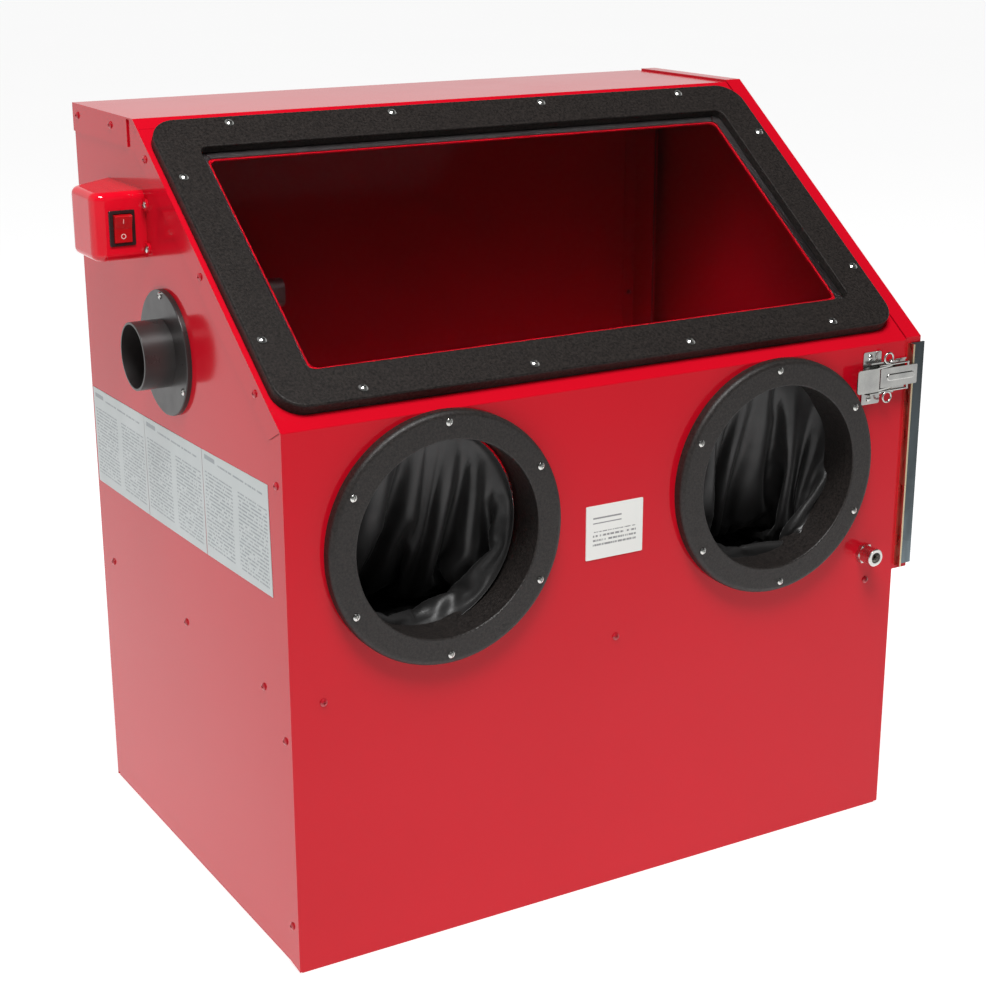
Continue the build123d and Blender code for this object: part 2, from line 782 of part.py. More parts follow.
def make_switch():
    """The snap-in rocker switch: its black bezel and body, and the red rocker on an axis along X."""
    face = Plane.XZ.offset(-housing_front_y)
    with BuildPart() as bezel:
        with BuildSketch(face):
            with Locations((bezel_x, bezel_z)):
                RectangleRounded(*bezel_size, 1.5)
        extrude(amount=bezel_height)
        with BuildSketch(face):
            with Locations((bezel_x, bezel_z)):
                Rectangle(bezel_size[0] - 4.0, bezel_size[1] - 4.0)
        extrude(amount=-switch_depth)
        with BuildSketch(face.offset(bezel_height)):
            with Locations((bezel_x, bezel_z)):
                Rectangle(*switch_well)
        extrude(amount=-bezel_height - switch_depth + sheet, mode=Mode.SUBTRACT)
        top = bezel.faces().filter_by(Axis.Y).sort_by(Axis.Y)[0]
        fillet(top.outer_wire().edges(), 0.8)
        with BuildSketch(Plane.YZ.offset(bezel_x)):
            with Locations((rocker_axis_y, bezel_z)):
                Circle(rocker_pin_radius)
        extrude(amount=switch_well[0] / 2 + 0.5, both=True)
    save(bezel.part, "switch_bezel")
    half = rocker_size[1] / 2
    bevel = 0.7
    outline = [(bevel - rocker_rise, half), (-rocker_rise, half - bevel), (-rocker_dip, 0),
               (-rocker_rise, bevel - half), (bevel - rocker_rise, -half), (2.5, -half), (6.0, -3.5),
               (6.0, 3.5), (2.5, half)]
    turn = radians(rocker_tilt)
    tilted = [(u * cos(turn) - v * sin(turn), u * sin(turn) + v * cos(turn)) for u, v in outline]
    pivot = Plane((bezel_x - rocker_size[0] / 2, rocker_axis_y, bezel_z), x_dir=(0, 1, 0), z_dir=(1, 0, 0))
    with BuildPart() as rocker:
        with BuildSketch(pivot):
            with BuildLine():
                Polyline(*tilted, close=True)
            make_face()
            Circle(rocker_pin_radius + hinge_clearance, mode=Mode.SUBTRACT)
        extrude(amount=rocker_size[0])
    save(rocker.part, "switch_rocker")


def make_cable_gland():
    """The mains cord's gland on the back of the switch housing."""
    back = Plane.XZ.offset(-housing_back_y)
    with BuildPart() as gland:
        with BuildSketch(back):
            with Locations((bezel_x, bezel_z)):
                RegularPolygon(gland_thread + 2.5, 6)
        extrude(amount=-gland_nut)
        with BuildSketch(back.offset(-gland_nut)):
            with Locations((bezel_x, bezel_z)):
                Circle(gland_thread + 1.0)
        extrude(amount=-gland_cap)
        fillet(gland.faces().sort_by(Axis.Y)[-1].edges(), 3.0)
        with BuildSketch(back):
            with Locations((bezel_x, bezel_z)):
                Circle(gland_thread)
        extrude(amount=gland_tail)
        with BuildSketch(back.offset(gland_tail)):
            with Locations((bezel_x, bezel_z)):
                Circle(gland_bore)
        extrude(amount=-gland_tail - gland_nut - gland_cap, mode=Mode.SUBTRACT)
    save(gland.part, "cable_gland")


def make_dust_spigot():
    with BuildPart() as spigot:
        with BuildSketch(left_outward):
            with Locations((-spigot_y, spigot_z)):
                Circle(spigot_flange_radius)
            with Locations(*[(-y, z) for y, z in spigot_screw_points()]):
                Circle(body_screw_hole, mode=Mode.SUBTRACT)
        extrude(amount=spigot_flange_thickness)
        flange = spigot.faces().filter_by(Axis.X).sort_by(Axis.X)[0]
        fillet(flange.outer_wire().edges(), 1.0)
        with BuildSketch(left_outward.offset(-sheet)):
            with Locations((-spigot_y, spigot_z)):
                Circle(spigot_tube_radius)
        extrude(amount=spigot_length + sheet)
        mouth = spigot.faces().filter_by(Axis.X).sort_by(Axis.X)[0]
        fillet(mouth.edges(), 0.6)
        with BuildSketch(left_outward.offset(-sheet)):
            with Locations((-spigot_y, spigot_z)):
                Circle(spigot_bore_radius)
        extrude(amount=spigot_length + sheet, mode=Mode.SUBTRACT)
    save(spigot.part, "dust_spigot")
    add_screws("spigot_screws", trim_screw_short, left_outward.offset(spigot_flange_thickness),
               [(-y, z) for y, z in spigot_screw_points()])


def make_air_inlet():
    """A screwed-in nipple on the front: a round barrel with a pipe thread bore, held by two nuts."""
    spot = (inlet_x, inlet_z)
    mouth = front_plane.offset(inlet_reach)
    with BuildPart() as nipple:
        with BuildSketch(front_plane.offset(inlet_nut_thickness)):
            with Locations(spot):
                Circle(inlet_radius)
        extrude(amount=inlet_reach - inlet_nut_thickness)
        chamfer(nipple.faces().filter_by(Axis.Y).sort_by(Axis.Y)[0].edges(), 0.8)
        with BuildSketch(front_plane.offset(inlet_nut_thickness)):
            with Locations(spot):
                Circle(inlet_shank_radius)
        extrude(amount=-inlet_shank)
        with BuildSketch(mouth):
            with Locations(spot):
                Circle(inlet_thread_radius)
        extrude(amount=-inlet_thread_depth, mode=Mode.SUBTRACT)
        with BuildSketch(mouth):
            with Locations(spot):
                Circle(inlet_thread_radius / 2)
        extrude(amount=-inlet_reach - inlet_shank, mode=Mode.SUBTRACT)
    save(nipple.part, "air_inlet_nipple")
    with BuildPart() as nuts:
        for plane in (front_plane, Plane.XZ.offset(-front_y - sheet - inlet_nut_thickness)):
            with BuildSketch(plane):
                with Locations(spot):
                    RegularPolygon(inlet_nut_radius, 6)
                    Circle(inlet_shank_radius + 0.1, mode=Mode.SUBTRACT)
            extrude(amount=inlet_nut_thickness)
    save(nuts.part, "air_inlet_nuts")


def make_stickers():
    """Three information stickers on the left wall and one square badge on the front."""
    for name, y, z, tilt in side_labels:
        with BuildPart() as label:
            with BuildSketch(left_outward):
                with Locations((-y, z)):
                    Rectangle(*label_size, rotation=tilt)
            extrude(amount=label_thickness)
        save(label.part, f"info_label_{name}")
    with BuildPart() as badge:
        with BuildSketch(front_plane):
            with Locations(badge_spot):
                RectangleRounded(*badge_size, 1.0)
        extrude(amount=badge_thickness)
    save(badge.part, "front_badge")


def door_face(inset):
    """The door's five-sided outline taken in by inset, for use inside a sketch on a YZ plane."""
    with BuildSketch(Plane.XY) as outline:
        with BuildLine():
            Polyline(*door_outline(), close=True)
        make_face()
    face = outline.sketch
    if inset:
        return offset(face, amount=-inset, kind=Kind.INTERSECTION, mode=Mode.PRIVATE)
    return face


def make_door():
    """A five-sided pan: outer skin, rim all round, and a return flange that carries the seal."""
    inner_x = half_width + door_gap
    whole = door_face(0.0)
    inside = door_face(sheet)
    hollow = door_face(door_return)
    with BuildPart() as door:
        with BuildSketch(Plane.YZ.offset(inner_x)):
            add(whole)
        extrude(amount=door_depth)
        rim = [e for e in door.faces().sort_by(Axis.X)[-1].edges()]
        fillet(rim, 1.4)
        with BuildSketch(Plane.YZ.offset(inner_x + sheet)):
            add(inside)
        extrude(amount=door_depth - 2 * sheet, mode=Mode.SUBTRACT)
        with BuildSketch(Plane.YZ.offset(inner_x)):
            add(hollow)
        extrude(amount=sheet, mode=Mode.SUBTRACT)
    save(door.part, "door_panel")
    band_outer = door_face(door_seal_start)
    band_inner = door_face(door_seal_start + door_seal_width)
    with BuildPart() as seal:
        with BuildSketch(Plane.YZ.offset(side_x + seal_gap)):
            add(band_outer)
            add(band_inner, mode=Mode.SUBTRACT)
        extrude(amount=inner_x - side_x - seal_gap)
    save(seal.part, "door_seal")
    with BuildPart() as strip:
        with BuildSketch(Plane.XY.offset(strip_bottom)):
            with BuildLine():
                Polyline((strip_right, door_front_y), (strip_left, door_front_y),
                         (strip_left, door_front_y - strip_thickness - strip_lip),
                         (strip_left + strip_thickness, door_front_y - strip_thickness - strip_lip),
                         (strip_left + strip_thickness, door_front_y - strip_thickness),
                         (strip_right, door_front_y - strip_thickness), close=True)
            make_face()
        extrude(amount=strip_top - strip_bottom)
        tip = strip.faces().sort_by(Axis.Y)[0]
        fillet(tip.edges().filter_by(Axis.Z), 0.6)
    save(strip.part, "door_catch_strip")


def make_hinges():
    """Two butt hinges at the door's rear edge; each pin stands in three knuckles."""
    third = hinge_height / 3
    bore = hinge_pin_radius + hinge_clearance
    with BuildPart() as leaves:
        for bottom in hinge_bottoms:
            with BuildSketch(Plane.XY.offset(bottom)):
                with Locations((body_leaf_left, back_y)):
                    Rectangle(body_leaf_right - body_leaf_left, leaf_thickness, align=(Align.MIN, Align.MIN))
            extrude(amount=hinge_height)
            for start in (bottom, bottom + 2 * third):
                with BuildSketch(Plane.XY.offset(start)):
                    with Locations((body_leaf_right, back_y)):
                        Rectangle(hinge_x - body_leaf_right, leaf_thickness, align=(Align.MIN, Align.MIN))
                    with Locations((hinge_x, hinge_y)):
                        Circle(hinge_knuckle_radius)
                        Circle(bore, mode=Mode.SUBTRACT)
                extrude(amount=third)
            with BuildSketch(Plane.XZ.offset(-back_y)):
                with Locations(*[(body_leaf_rivet_x, bottom + h) for h in leaf_rivet_heights]):
                    Circle(rivet_shank)
            extrude(amount=-leaf_thickness, mode=Mode.SUBTRACT)
    save(leaves.part, "hinge_body_leaves")
    with BuildPart() as door_leaves:
        for bottom in hinge_bottoms:
            with BuildSketch(Plane.XY.offset(bottom)):
                with Locations((door_leaf_left, door_rear_y)):
                    Rectangle(door_leaf_right - door_leaf_left, leaf_thickness, align=(Align.MIN, Align.MIN))
            extrude(amount=hinge_height)
            with BuildSketch(Plane.XY.offset(bottom + third + knuckle_gap)):
                with Locations((hinge_x + hinge_knuckle_radius, door_rear_y)):
                    Rectangle(leaf_thickness, hinge_y - door_rear_y, align=(Align.MAX, Align.MIN))
                with Locations((hinge_x, hinge_y)):
                    Circle(hinge_knuckle_radius)
                    Circle(bore, mode=Mode.SUBTRACT)
            extrude(amount=third - 2 * knuckle_gap)
    save(door_leaves.part, "hinge_door_leaves")
    with BuildPart() as pins:
        for bottom in hinge_bottoms:
            with BuildSketch(Plane.XY.offset(bottom - 1.0)):
                with Locations((hinge_x, hinge_y)):
                    Circle(hinge_pin_radius)
            extrude(amount=hinge_height + 1.0)
            with BuildSketch(Plane.XY.offset(bottom + hinge_height)):
                with Locations((hinge_x, hinge_y)):
                    Circle(hinge_knuckle_radius - 0.5)
            extrude(amount=2.0)
    save(pins.part, "hinge_pins")
    rivet = make_rivet(leaf_thickness)
    back_plane = Plane((0, back_y + leaf_thickness, 0), x_dir=(-1, 0, 0), z_dir=(0, 1, 0))
    add_screws("hinge_rivets", rivet, back_plane,
               [(-body_leaf_rivet_x, bottom + h) for bottom in hinge_bottoms for h in leaf_rivet_heights])


def make_rivet(grip):
    with BuildPart() as rivet:
        with BuildSketch(Plane.XZ):
            with BuildLine():
                Polyline((0, rivet_rise), (0, -grip), (rivet_shank - 0.1, -grip), (rivet_shank - 0.1, 0),
                         (rivet_head, 0))
                ThreePointArc((rivet_head, 0), dome_point(rivet_head, 0, rivet_rise), (0, rivet_rise))
            make_face()
        revolve(axis=Axis.Z)
    return rivet.part


def latch_bore(spot):
    """The running bore for a latch pin: a long cylinder along Z at spot, an (x, y) point."""
    with BuildPart() as bore:
        with Locations((*spot, latch_middle)):
            Cylinder(latch_pin_radius + hinge_clearance, 2 * latch_ear_half_height)
    return bore.part


def make_latch_base():
    bore = latch_bore(lever_pivot)
    with BuildPart() as base:
        with BuildSketch(front_plane):
            with Locations(((latch_left + latch_right) / 2, latch_middle)):
                Rectangle(latch_right - latch_left, 2 * latch_half_height)
            with Locations(((latch_left + latch_ear_right) / 2, latch_middle)):
                Rectangle(latch_ear_right - latch_left, 2 * latch_ear_half_height)
        extrude(amount=latch_plate)
        corners = base.edges().filter_by(Axis.Y)
        fillet(corners.filter_by_position(Axis.X, latch_left - 1, latch_ear_right + 1), 2.0)
        for side in (-1, 1):
            far = latch_middle + side * latch_half_height
            with BuildSketch(Plane.XY.offset(far)):
                with BuildLine():
                    Polyline((latch_left + 3, front_y), (latch_left + 6, latch_cheek_y),
                             (lever_pivot[0] + 4, latch_cheek_y), (lever_pivot[0] + 8, front_y - 3.0),
                             (latch_right, front_y - 3.0), (latch_right, front_y), close=True)
                make_face()
            extrude(amount=-side * latch_plate)
        with BuildSketch(front_plane):
            with Locations(*latch_rivet_points()):
                Circle(rivet_shank)
        extrude(amount=latch_plate, mode=Mode.SUBTRACT)
        add(bore, mode=Mode.SUBTRACT)
    save(base.part, "latch_base")
    add_screws("latch_rivets", make_rivet(latch_plate), front_plane.offset(latch_plate), latch_rivet_points())


def latch_rivet_points():
    return [(298.0, latch_middle - 21.3), (298.0, latch_middle + 21.3)]


def make_latch_lever():
    """A channel: flat handle in front, and two arms back to the pivot and the claw's pin."""
    bores = [latch_bore(lever_pivot), latch_bore(claw_pivot)]
    with BuildPart() as lever:
        with BuildSketch(Plane.XZ.offset(-lever_front_y)):
            with Locations(((lever_left + lever_right) / 2, latch_middle)):
                RectangleRounded(lever_right - lever_left, 2 * lever_half_height, 3.0)
        extrude(amount=-latch_plate)
        for side in (-1, 1):
            with BuildSketch(Plane.XY.offset(latch_middle + side * lever_half_height)):
                with BuildLine():
                    Polyline((lever_left + 4, lever_front_y + latch_plate / 2),
                             (lever_left + 4, lever_front_y + 3.5),
                             (claw_pivot[0] - 5, lever_pivot[1] + lever_boss),
                             (lever_pivot[0], lever_pivot[1] + lever_boss),
                             (lever_pivot[0], lever_pivot[1] - lever_boss),
                             (lever_right - 3, lever_front_y + latch_plate / 2), close=True)
                make_face()
                with Locations(lever_pivot):
                    Circle(lever_boss)
            extrude(amount=-side * latch_plate)
        add(bores, mode=Mode.SUBTRACT)
    save(lever.part, "latch_lever")


def make_latch_claw():
    """A ribbed plate from the claw's pin over the strip's lip, with two ears down to the pin."""
    bore = latch_bore(claw_pivot)
    with BuildPart() as claw:
        with BuildSketch(Plane.XZ.offset(-claw_front_y)):
            with Locations(((claw_left + claw_right) / 2, latch_middle)):
                RectangleRounded(claw_right - claw_left, 2 * claw_half_height, 1.5)
        extrude(amount=-latch_plate)
        with BuildSketch(Plane.XZ.offset(-claw_front_y)):
            with Locations(((claw_left + claw_right) / 2 + 2, latch_middle)):
                SlotOverall(claw_rib_length, claw_rib_width)
        extrude(amount=claw_rib_rise)
        rib = claw.faces().filter_by(Axis.Y).sort_by(Axis.Y)[0]
        fillet(rib.edges(), claw_rib_rise * 0.8)
        for side in (-1, 1):
            with BuildSketch(Plane.XY.offset(latch_middle + side * claw_half_height)):
                with Locations(claw_pivot):
                    Circle(claw_boss)
                with Locations((claw_pivot[0], claw_front_y + latch_plate)):
                    Rectangle(2 * claw_boss, claw_pivot[1] - claw_front_y - latch_plate,
                              align=(Align.CENTER, Align.MIN))
            extrude(amount=-side * latch_plate)
        add(bore, mode=Mode.SUBTRACT)
    save(claw.part, "latch_claw")


def make_latch_springs():
    """Two wire springs on the claw: a round loop beside it and a straight leg that turns in to its edge."""
    wire_y = claw_front_y + latch_plate / 2
    with BuildPart() as springs:
        for side in (-1, 1):
            leg_z = latch_middle + side * spring_leg_offset
            loop_z = latch_middle + side * spring_loop_offset
            loop_plane = Plane((spring_loop_x, wire_y, loop_z), x_dir=(1, 0, 0), z_dir=(0, -1, 0))
            with Locations(loop_plane.location):
                Torus(spring_loop_radius, spring_wire)
            with BuildSketch(Plane.YZ.offset(spring_leg_left)):
                with Locations((wire_y, leg_z)):
                    Circle(spring_wire)
            extrude(amount=spring_leg_right - spring_leg_left)
            turn_plane = Plane((spring_leg_right - spring_wire, wire_y, leg_z + side * spring_wire))
            with BuildSketch(turn_plane):
                Circle(spring_wire)
            extrude(amount=-side * (spring_leg_offset + spring_wire - claw_half_height))
    save(springs.part, "latch_springs")


def make_latch_pins():
    for name, spot, reach in (("latch_pivot_pin", lever_pivot, latch_half_height + 1.0),
                              ("latch_claw_pin", claw_pivot, lever_half_height + 0.3)):
        with BuildPart() as pin:
            with BuildSketch(Plane.XY.offset(latch_middle)):
                with Locations(spot):
                    Circle(latch_pin_radius)
            extrude(amount=reach, both=True)
        save(pin.part, name)


def make_lamp():
    """The work lamp under the lid: a folded channel, two sockets and a glass tube between them."""
    ceiling = body_height - sheet
    with BuildPart() as channel:
        with Locations((0, lamp_y, ceiling)):
            Box(lamp_length, lamp_width, lamp_depth, align=(Align.CENTER, Align.CENTER, Align.MAX))
        with Locations((0, lamp_y, ceiling - sheet)):
            Box(lamp_length - 2 * sheet, lamp_width - 2 * sheet, lamp_depth,
                align=(Align.CENTER, Align.CENTER, Align.MAX), mode=Mode.SUBTRACT)
    save(channel.part, "lamp_channel")
    with BuildPart() as sockets:
        for side in (-1, 1):
            with Locations((side * lamp_socket_x, lamp_y, ceiling - sheet)):
                Box(14.0, 24.0, lamp_drop + 12.0, align=(Align.CENTER, Align.CENTER, Align.MAX))
        with BuildSketch(Plane.YZ):
            with Locations((lamp_y, ceiling - sheet - lamp_drop)):
                Circle(lamp_tube_radius + 0.2)
        extrude(amount=lamp_tube_half, both=True, mode=Mode.SUBTRACT)
    save(sockets.part, "lamp_sockets")
    with BuildPart() as tube:
        with BuildSketch(Plane.YZ):
            with Locations((lamp_y, ceiling - sheet - lamp_drop)):
                Circle(lamp_tube_radius)
        extrude(amount=lamp_tube_half, both=True)
    save(tube.part, "lamp_tube")


def make_gun():
    """The blast gun hangs muzzle down on the back wall; its grip points to the right."""
    barrel = Plane.XY.offset(gun_bottom)
    with BuildPart() as body:
        with BuildSketch(barrel):
            with Locations((gun_x, gun_y)):
                Circle(gun_radius)
        extrude(amount=gun_height)
        with BuildSketch(Plane.YZ.offset(gun_x)):
            with Locations((gun_y, gun_grip_z)):
                RectangleRounded(24.0, 30.0, 9.0)
        extrude(amount=gun_grip_length)
        with BuildSketch(Plane.XY.offset(gun_bottom + gun_height)):
            with Locations((gun_x, gun_y)):
                Circle(9.0)
        extrude(amount=16.0)
        with BuildSketch(barrel):
            with Locations((gun_x, gun_y)):
                Circle(nozzle_radius + 0.1)
        extrude(amount=25.0, mode=Mode.SUBTRACT)
        with BuildSketch(Plane.XZ.offset(-gun_y)):
            with Locations(trigger_pivot):
                Rectangle(9.0, 12.0)
        extrude(amount=trigger_slot_half, both=True, mode=Mode.SUBTRACT)
        with BuildSketch(Plane.XZ.offset(-gun_y)):
            with Locations(trigger_pivot):
                Circle(trigger_pin_radius)
        extrude(amount=trigger_slot_half + 1.0, both=True)
    save(body.part, "gun_body")
    with BuildPart() as nozzle:
        with BuildSketch(Plane.XY.offset(gun_bottom + 24.8)):
            with Locations((gun_x, gun_y)):
                Circle(nozzle_radius)
        extrude(amount=-nozzle_length)
        chamfer(nozzle.faces().sort_by(Axis.Z)[0].edges(), 1.5)
        with BuildSketch(Plane.XY.offset(gun_bottom + 24.8)):
            with Locations((gun_x, gun_y)):
                Circle(3.0)
        extrude(amount=-nozzle_length, mode=Mode.SUBTRACT)
    save(nozzle.part, "gun_nozzle")
    with BuildPart() as trigger:
        with BuildSketch(Plane.XZ.offset(-gun_y)):
            with BuildLine():
                x, z = trigger_pivot
                Polyline((x - 2, z + 3), (x - 2.5, z - 6), (x + 2, z - 24), (x + 10, z - 34), (x + 12, z - 32),
                         (x + 6, z - 23), (x + 3, z - 6), (x + 2, z + 3), close=True)
            make_face()
            with Locations(trigger_pivot):
                Circle(trigger_pin_radius + hinge_clearance, mode=Mode.SUBTRACT)
        extrude(amount=trigger_slot_half - 0.6, both=True)
    save(trigger.part, "gun_trigger")
    with BuildPart() as hook:
        with BuildSketch(Plane.XY.offset(gun_bottom + gun_height)):
            with Locations((gun_x, gun_y)):
                Circle(gun_radius + 2.0)
            with Locations((gun_x, (gun_y + back_y - sheet) / 2)):
                Rectangle(30.0, back_y - sheet - gun_y)
            with Locations((gun_x, gun_y)):
                Circle(9.4, mode=Mode.SUBTRACT)
        extrude(amount=2.0)
        with Locations((gun_x, back_y - sheet, gun_bottom + gun_height)):
            Box(30.0, 2.0, 40.0, align=(Align.CENTER, Align.MAX, Align.MIN))
    save(hook.part, "gun_hook")


os.makedirs("parts", exist_ok=True)
body_screw = make_screw(body_screw_head, 2.4, body_screw_shank, 8.0)
trim_screw = make_screw(trim_screw_head, 2.2, body_screw_shank, 20.0)
trim_screw_short = make_screw(trim_screw_head, 2.2, body_screw_shank, 9.0)
window_screw = make_screw(4.4, 2.8, body_screw_shank, 18.0)
make_front_panel()
make_left_side_panel()
make_right_side_panel()
make_back_panel()
make_top_cover()
make_bottom_pan()
make_hopper()
make_pickup_tube()
make_grate_rails()
make_work_grate()
make_window()
add_screws("window_screws", window_screw, slope_plane.offset(window_frame_thickness), window_screw_points())
for port_name, (port_x, port_turn) in zip(("left", "right"), port_centres()):
    make_glove_port(port_name, port_x, port_turn)
add_wall_screws()
make_switch_housing()
make_switch()
make_cable_gland()
make_dust_spigot()
make_air_inlet()
make_stickers()
make_door()
make_hinges()
make_latch_base()
make_latch_lever()
make_latch_claw()
make_latch_springs()
make_latch_pins()
make_lamp()
make_gun()
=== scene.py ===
import json
import math

import bmesh
import bpy
import numpy as np
from mathutils import Matrix, Vector


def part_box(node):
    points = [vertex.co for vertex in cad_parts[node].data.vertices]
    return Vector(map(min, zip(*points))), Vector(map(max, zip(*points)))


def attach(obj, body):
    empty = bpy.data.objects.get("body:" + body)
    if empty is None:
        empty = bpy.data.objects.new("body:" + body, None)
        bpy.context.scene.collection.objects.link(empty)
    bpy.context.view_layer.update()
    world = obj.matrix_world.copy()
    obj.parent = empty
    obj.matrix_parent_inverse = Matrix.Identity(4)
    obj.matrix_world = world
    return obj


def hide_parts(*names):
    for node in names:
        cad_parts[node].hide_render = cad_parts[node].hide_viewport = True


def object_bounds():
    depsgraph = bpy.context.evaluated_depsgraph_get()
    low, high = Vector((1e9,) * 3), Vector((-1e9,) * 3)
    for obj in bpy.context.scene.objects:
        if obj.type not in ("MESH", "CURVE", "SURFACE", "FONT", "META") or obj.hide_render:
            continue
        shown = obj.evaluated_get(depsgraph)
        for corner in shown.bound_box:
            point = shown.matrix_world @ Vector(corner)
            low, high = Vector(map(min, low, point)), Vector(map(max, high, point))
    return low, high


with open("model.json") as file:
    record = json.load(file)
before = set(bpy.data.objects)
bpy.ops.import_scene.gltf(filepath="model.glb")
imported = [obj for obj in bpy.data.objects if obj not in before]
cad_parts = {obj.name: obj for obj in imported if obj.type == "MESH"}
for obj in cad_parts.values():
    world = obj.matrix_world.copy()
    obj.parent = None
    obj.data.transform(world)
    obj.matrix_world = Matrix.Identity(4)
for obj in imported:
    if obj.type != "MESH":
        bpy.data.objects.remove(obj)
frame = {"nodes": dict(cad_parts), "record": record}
cad_low, cad_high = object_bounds()

# Camera, in metres in the row frame
CAMERA_PLACE = Vector((-0.9762, -1.6709, 0.9502))
CAMERA_FORWARD = Vector((0.48186, 0.82179, -0.30410))
CAMERA_RIGHT = Vector((0.86234, -0.50632, -0.00185))
CAMERA_LENS_MM = 69.0


# ---------------------------------------------------------------- node helpers
class Shader:
    """A material with one Principled shader and short calls to add nodes and links."""

    def __init__(self, name, **settings):
        self.material = bpy.data.materials.new(name)
        self.material.use_nodes = True
        self.tree = self.material.node_tree
        self.bsdf = self.tree.nodes["Principled BSDF"]
        for key, value in settings.items():
            self.bsdf.inputs[key.replace("_", " ")].default_value = value

    def node(self, kind, **sockets):
        node = self.tree.nodes.new(kind)
        for key, value in sockets.items():
            socket = node.inputs[key.replace("_", " ")]
            if isinstance(value, bpy.types.NodeSocket):
                self.tree.links.new(value, socket)
            else:
                socket.default_value = value
        return node

    def link(self, output, socket):
        self.tree.links.new(output, self.bsdf.inputs[socket])

    def place(self):
        return self.node("ShaderNodeTexCoord").outputs["Object"]

    def noise(self, scale, detail=3.0, roughness=0.5, stretch=None):
        where = self.place()
        if stretch:
            where = self.node("ShaderNodeMapping", Vector=where, Scale=stretch).outputs["Vector"]
        made = self.node("ShaderNodeTexNoise", Vector=where, Scale=scale, Detail=detail, Roughness=roughness)
        return made.outputs["Fac"]

    def spread(self, value, low, high, start=0.3, end=0.7):
        """Maps a texture's useful range to low..high."""
        made = self.tree.nodes.new("ShaderNodeMapRange")
        self.tree.links.new(value, made.inputs["Value"])
        for key, number in (("From Min", start), ("From Max", end), ("To Min", low), ("To Max", high)):
            made.inputs[key].default_value = number
        return made.outputs["Result"]

    def ramp(self, value, stops):
        made = self.node("ShaderNodeValToRGB", Fac=value)
        steps = made.color_ramp.elements
        while len(steps) < len(stops):
            steps.new(0.5)
        for step, (place, colour) in zip(steps, stops):
            step.position = place
            step.color = (*colour, 1.0)
        return made.outputs["Color"]

    def bump(self, height, strength, distance, below=None):
        made = self.node("ShaderNodeBump", Height=height, Strength=strength, Distance=distance)
        if below is not None:
            self.tree.links.new(below, made.inputs["Normal"])
        return made.outputs["Normal"]

    def math(self, kind, a, b=0.0):
        made = self.tree.nodes.new("ShaderNodeMath")
        made.operation = kind
        for socket, value in zip(made.inputs, (a, b)):
            if isinstance(value, bpy.types.NodeSocket):
                self.tree.links.new(value, socket)
            else:
                socket.default_value = value
        return made.outputs["Value"]


# ---------------------------------------------------------------- materials
def red_powder_coat():
    s = Shader("red_powder_coat", IOR=1.33)
    tint = s.noise(2.2, 4.0)
    s.link(s.ramp(tint, [(0.3, (0.54, 0.0032, 0.013)), (0.7, (0.59, 0.004, 0.016))]), "Base Color")
    s.link(s.spread(s.noise(14.0, 3.0), 0.10, 0.14), "Roughness")
    s.link(s.bump(s.noise(330.0, 2.0), 0.035, 0.0004), "Normal")
    return s.material


def red_screw_paint():
    s = Shader("red_screw_paint", Roughness=0.3, Coat_Weight=0.5, Coat_Roughness=0.1)
    tint = s.noise(300.0)
    s.link(s.ramp(tint, [(0.35, (0.36, 0.003, 0.012)), (0.65, (0.5, 0.006, 0.02))]), "Base Color")
    s.link(s.bump(s.noise(900.0), 0.25, 0.0004), "Normal")
    return s.material


def zinc_plate():
    s = Shader("zinc_plate", Metallic=1.0)
    tint = s.noise(60.0, 4.0)
    s.link(s.ramp(tint, [(0.3, (0.5, 0.5, 0.49)), (0.7, (0.66, 0.66, 0.63))]), "Base Color")
    s.link(s.spread(s.noise(90.0, 4.0), 0.16, 0.26), "Roughness")
    s.link(s.bump(s.noise(120.0, 2.0), 0.05, 0.0004), "Normal")
    return s.material


def galvanised_strip():
    """Bluish zinc with a spangled grain and painted shade that darkens it towards the top, turning yellow on its
    lip and edges.
    """
    s = Shader("galvanised_strip", Metallic=1.0)
    spangle = s.node("ShaderNodeTexVoronoi", Vector=s.place(), Scale=95.0).outputs["Color"]
    grain = s.noise(30.0, 6.0, stretch=(1.0, 1.0, 0.25))
    low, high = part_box("door_catch_strip")
    across = s.node("ShaderNodeSeparateXYZ", Vector=s.place())
    # Painted shade: the grain is shifted darker towards the top of the strip and lighter towards its bottom.
    grain_and_painted_shade = s.math("ADD", grain, s.spread(across.outputs["Z"], 0.18, -0.22, low.z, high.z))
    blue = s.ramp(grain_and_painted_shade, [(0.15, (0.035, 0.037, 0.037)), (0.5, (0.10, 0.12, 0.13)), (0.85, (0.26, 0.32, 0.35))])
    lip_end = low.x + 0.0026
    lip = s.spread(across.outputs["X"], 1.0, 0.0, lip_end, lip_end + 0.0008)
    front = s.spread(across.outputs["Y"], 1.0, 0.0, low.y + 0.0055, low.y + 0.0065)
    gold = s.math("MAXIMUM", lip, front)
    mixed = s.tree.nodes.new("ShaderNodeMix")
    mixed.data_type = "RGBA"
    s.tree.links.new(gold, mixed.inputs["Factor"])
    s.tree.links.new(blue, mixed.inputs["A"])
    mixed.inputs["B"].default_value = (0.6, 0.5, 0.33, 1.0)
    s.tree.links.new(mixed.outputs["Result"], s.bsdf.inputs["Base Color"])
    s.link(s.spread(s.node("ShaderNodeRGBToBW", Color=spangle).outputs["Val"], 0.22, 0.42, 0.0, 1.0), "Roughness")
    s.link(s.bump(grain, 0.1, 0.0005), "Normal")
    return s.material


def bare_steel():
    s = Shader("bare_steel", Metallic=1.0)
    s.link(s.ramp(s.noise(60.0, 6.0), [(0.3, (0.2, 0.19, 0.18)), (0.7, (0.4, 0.39, 0.37))]), "Base Color")
    s.link(s.spread(s.noise(80.0, 4.0), 0.35, 0.6), "Roughness")
    s.link(s.bump(s.noise(500.0), 0.2, 0.0003), "Normal")
    return s.material


